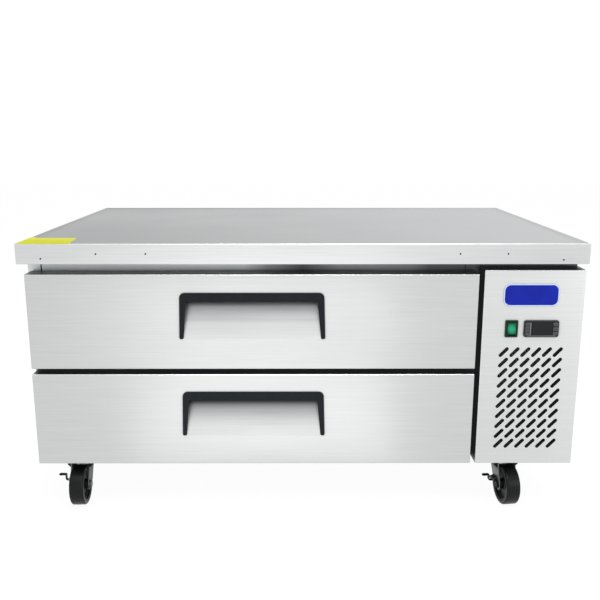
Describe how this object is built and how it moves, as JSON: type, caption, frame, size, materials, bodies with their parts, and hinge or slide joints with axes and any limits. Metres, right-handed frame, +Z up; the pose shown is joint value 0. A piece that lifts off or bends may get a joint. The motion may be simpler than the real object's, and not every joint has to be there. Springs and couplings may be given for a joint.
{
  "type": "refrigerated chef base",
  "caption": "Low refrigerated cabinet on swivel casters: a stainless worktop over full-extension pan drawers, with a ventilated machine bay, switch and controller at one end.",
  "frame": {"origin": "on the floor, under the middle of the worktop", "axes": "+X to the right when facing the drawers, -Y out of the front, +Z up"},
  "size_m": [1.321, 0.838, 0.676],
  "materials": {
    "worktop_stainless": "brushed stainless sheet, satin",
    "front_stainless": "brushed stainless sheet, satin",
    "shell_stainless": "brushed stainless sheet, satin",
    "liner_stainless": "bright rolled stainless sheet",
    "galvanised_steel": "galvanised sheet, spangled",
    "insulation": "rigid foam, matt",
    "white_plastic": "vacuum formed sheet, satin",
    "handle_plastic": "moulded, fine grain",
    "gasket": "extruded, matt",
    "switch_frame": "moulded, glossy",
    "switch_green": "translucent moulded, glossy",
    "controller_plastic": "moulded, satin",
    "key_plastic": "moulded, satin",
    "wheel_rubber": "moulded, satin",
    "zinc_steel": "zinc plated, satin",
    "black_steel": "black paint, semi gloss",
    "fin_aluminium": "plain fin stock",
    "fan_plastic": "moulded, satin",
    "copper": "drawn copper tube",
    "badge_plate": "blue enamelled plate with a bright rim, blank",
    "protective_film": "yellow translucent film, blank"
  },
  "bodies": {
    "cabinet": {"worktop": "worktop_stainless", "left_side": "shell_stainless", "right_side": "shell_stainless", "base_pan": "galvanised_steel", "back_panel": "galvanised_steel", "face_frame": "shell_stainless", "liner": "liner_stainless", "foam_core": "insulation", "drawer_upper_left_outer_rail": "zinc_steel", "drawer_upper_right_outer_rail": "zinc_steel", "drawer_lower_left_outer_rail": "zinc_steel", "drawer_lower_right_outer_rail": "zinc_steel", "grille_panel": "front_stainless", "switch_bezel": "switch_frame", "controller_body": "controller_plastic", "unit_base": "galvanised_steel", "condenser_coil": "fin_aluminium", "fan_shroud": "galvanised_steel", "compressor": "black_steel", "refrigerant_line": "copper", "evaporator_cover": "liner_stainless", "evaporator_coil": "fin_aluminium", "front_left_caster_plate": "zinc_steel", "front_right_caster_plate": "zinc_steel", "rear_left_caster_plate": "zinc_steel", "rear_right_caster_plate": "zinc_steel"},
    "drawer_upper": {"drawer_upper_front": "front_stainless", "drawer_upper_inner_panel": "white_plastic", "drawer_upper_handle": "handle_plastic", "drawer_upper_gasket": "gasket", "drawer_upper_frame": "liner_stainless"},
    "drawer_lower": {"drawer_lower_front": "front_stainless", "drawer_lower_inner_panel": "white_plastic", "drawer_lower_handle": "handle_plastic", "drawer_lower_gasket": "gasket", "drawer_lower_frame": "liner_stainless"},
    "upper_left_middle_rail": {"drawer_upper_left_middle_rail": "zinc_steel"},
    "upper_right_middle_rail": {"drawer_upper_right_middle_rail": "zinc_steel"},
    "lower_left_middle_rail": {"drawer_lower_left_middle_rail": "zinc_steel"},
    "lower_right_middle_rail": {"drawer_lower_right_middle_rail": "zinc_steel"},
    "rocker": {"switch_rocker": "switch_green"},
    "key_1": {"controller_key_1": "key_plastic"},
    "key_2": {"controller_key_2": "key_plastic"},
    "key_3": {"controller_key_3": "key_plastic"},
    "condenser_rotor": {"condenser_fan": "fan_plastic"},
    "evaporator_rotor": {"evaporator_fan": "fan_plastic"},
    "front_left_fork": {"front_left_caster_fork": "zinc_steel", "front_left_caster_axle": "zinc_steel"},
    "front_right_fork": {"front_right_caster_fork": "zinc_steel", "front_right_caster_axle": "zinc_steel"},
    "rear_left_fork": {"rear_left_caster_fork": "zinc_steel", "rear_left_caster_axle": "zinc_steel"},
    "rear_right_fork": {"rear_right_caster_fork": "zinc_steel", "rear_right_caster_axle": "zinc_steel"},
    "front_left_wheel": {"front_left_caster_wheel": "wheel_rubber"},
    "front_right_wheel": {"front_right_caster_wheel": "wheel_rubber"},
    "rear_left_wheel": {"rear_left_caster_wheel": "wheel_rubber"},
    "rear_right_wheel": {"rear_right_caster_wheel": "wheel_rubber"},
    "front_left_brake": {"front_left_brake_lever": "black_steel"},
    "front_right_brake": {"front_right_brake_lever": "black_steel"}
  },
  "joints": [
    {"name": "drawer_upper_slide", "type": "slide", "parent": "cabinet", "child": "drawer_upper", "axis": [0, -1, 0], "range_m": [0, 0.56]},
    {"name": "drawer_lower_slide", "type": "slide", "parent": "cabinet", "child": "drawer_lower", "axis": [0, -1, 0], "range_m": [0, 0.56]},
    {"name": "upper_left_middle_rail_slide", "type": "slide", "parent": "cabinet", "child": "upper_left_middle_rail", "axis": [0, -1, 0], "range_m": [0, 0.28]},
    {"name": "upper_right_middle_rail_slide", "type": "slide", "parent": "cabinet", "child": "upper_right_middle_rail", "axis": [0, -1, 0], "range_m": [0, 0.28]},
    {"name": "lower_left_middle_rail_slide", "type": "slide", "parent": "cabinet", "child": "lower_left_middle_rail", "axis": [0, -1, 0], "range_m": [0, 0.28]},
    {"name": "lower_right_middle_rail_slide", "type": "slide", "parent": "cabinet", "child": "lower_right_middle_rail", "axis": [0, -1, 0], "range_m": [0, 0.28]},
    {"name": "rocker_tip", "type": "hinge", "parent": "cabinet", "child": "rocker", "pos_m": [0.491, -0.4073, 0.4727], "axis": [1, 0, 0], "range_deg": [0, 16]},
    {"name": "key_1_press", "type": "slide", "parent": "cabinet", "child": "key_1", "axis": [0, 1, 0], "range_m": [0, 0.0008], "stiffness_N_per_m": 400},
    {"name": "key_2_press", "type": "slide", "parent": "cabinet", "child": "key_2", "axis": [0, 1, 0], "range_m": [0, 0.0008], "stiffness_N_per_m": 400},
    {"name": "key_3_press", "type": "slide", "parent": "cabinet", "child": "key_3", "axis": [0, 1, 0], "range_m": [0, 0.0008], "stiffness_N_per_m": 400},
    {"name": "condenser_fan_spin", "type": "hinge", "parent": "cabinet", "child": "condenser_rotor", "pos_m": [0.5365, -0.223, 0.2861], "axis": [0, 1, 0], "continuous": true},
    {"name": "evaporator_fan_spin", "type": "hinge", "parent": "cabinet", "child": "evaporator_rotor", "pos_m": [-0.1165, 0.3084, 0.4552], "axis": [0, 1, 0], "continuous": true},
    {"name": "front_left_swivel", "type": "hinge", "parent": "cabinet", "child": "front_left_fork", "pos_m": [-0.5655, -0.323, 0.118], "axis": [0, 0, 1], "continuous": true},
    {"name": "front_right_swivel", "type": "hinge", "parent": "cabinet", "child": "front_right_fork", "pos_m": [0.5145, -0.323, 0.118], "axis": [0, 0, 1], "continuous": true},
    {"name": "rear_left_swivel", "type": "hinge", "parent": "cabinet", "child": "rear_left_fork", "pos_m": [-0.5655, 0.377, 0.118], "axis": [0, 0, 1], "continuous": true},
    {"name": "rear_right_swivel", "type": "hinge", "parent": "cabinet", "child": "rear_right_fork", "pos_m": [0.5145, 0.377, 0.118], "axis": [0, 0, 1], "continuous": true},
    {"name": "front_left_wheel_roll", "type": "hinge", "parent": "front_left_fork", "child": "front_left_wheel", "pos_m": [-0.56428, -0.35798, 0.051], "axis": [0.9994, 0.0349, 0], "continuous": true},
    {"name": "front_right_wheel_roll", "type": "hinge", "parent": "front_right_fork", "child": "front_right_wheel", "pos_m": [0.51877, -0.35774, 0.051], "axis": [0.9925, 0.1219, 0], "continuous": true},
    {"name": "rear_left_wheel_roll", "type": "hinge", "parent": "rear_left_fork", "child": "rear_left_wheel", "pos_m": [-0.5655, 0.342, 0.051], "axis": [1, 0, 0], "continuous": true},
    {"name": "rear_right_wheel_roll", "type": "hinge", "parent": "rear_right_fork", "child": "rear_right_wheel", "pos_m": [0.5145, 0.342, 0.051], "axis": [1, 0, 0], "continuous": true},
    {"name": "front_left_brake_press", "type": "hinge", "parent": "front_left_fork", "child": "front_left_brake", "pos_m": [-0.59352, -0.33999, 0.058], "axis": [0.0349, -0.9994, 0], "range_deg": [0, 12]},
    {"name": "front_right_brake_press", "type": "hinge", "parent": "front_right_fork", "child": "front_right_brake", "pos_m": [0.48806, -0.34237, 0.058], "axis": [0.1219, -0.9925, 0], "range_deg": [0, 12]}
  ],
  "couplings": [
    {"joint": "upper_left_middle_rail_slide", "follows": "drawer_upper_slide", "ratio": 0.5},
    {"joint": "upper_right_middle_rail_slide", "follows": "drawer_upper_slide", "ratio": 0.5},
    {"joint": "lower_left_middle_rail_slide", "follows": "drawer_lower_slide", "ratio": 0.5},
    {"joint": "lower_right_middle_rail_slide", "follows": "drawer_lower_slide", "ratio": 0.5}
  ]
}
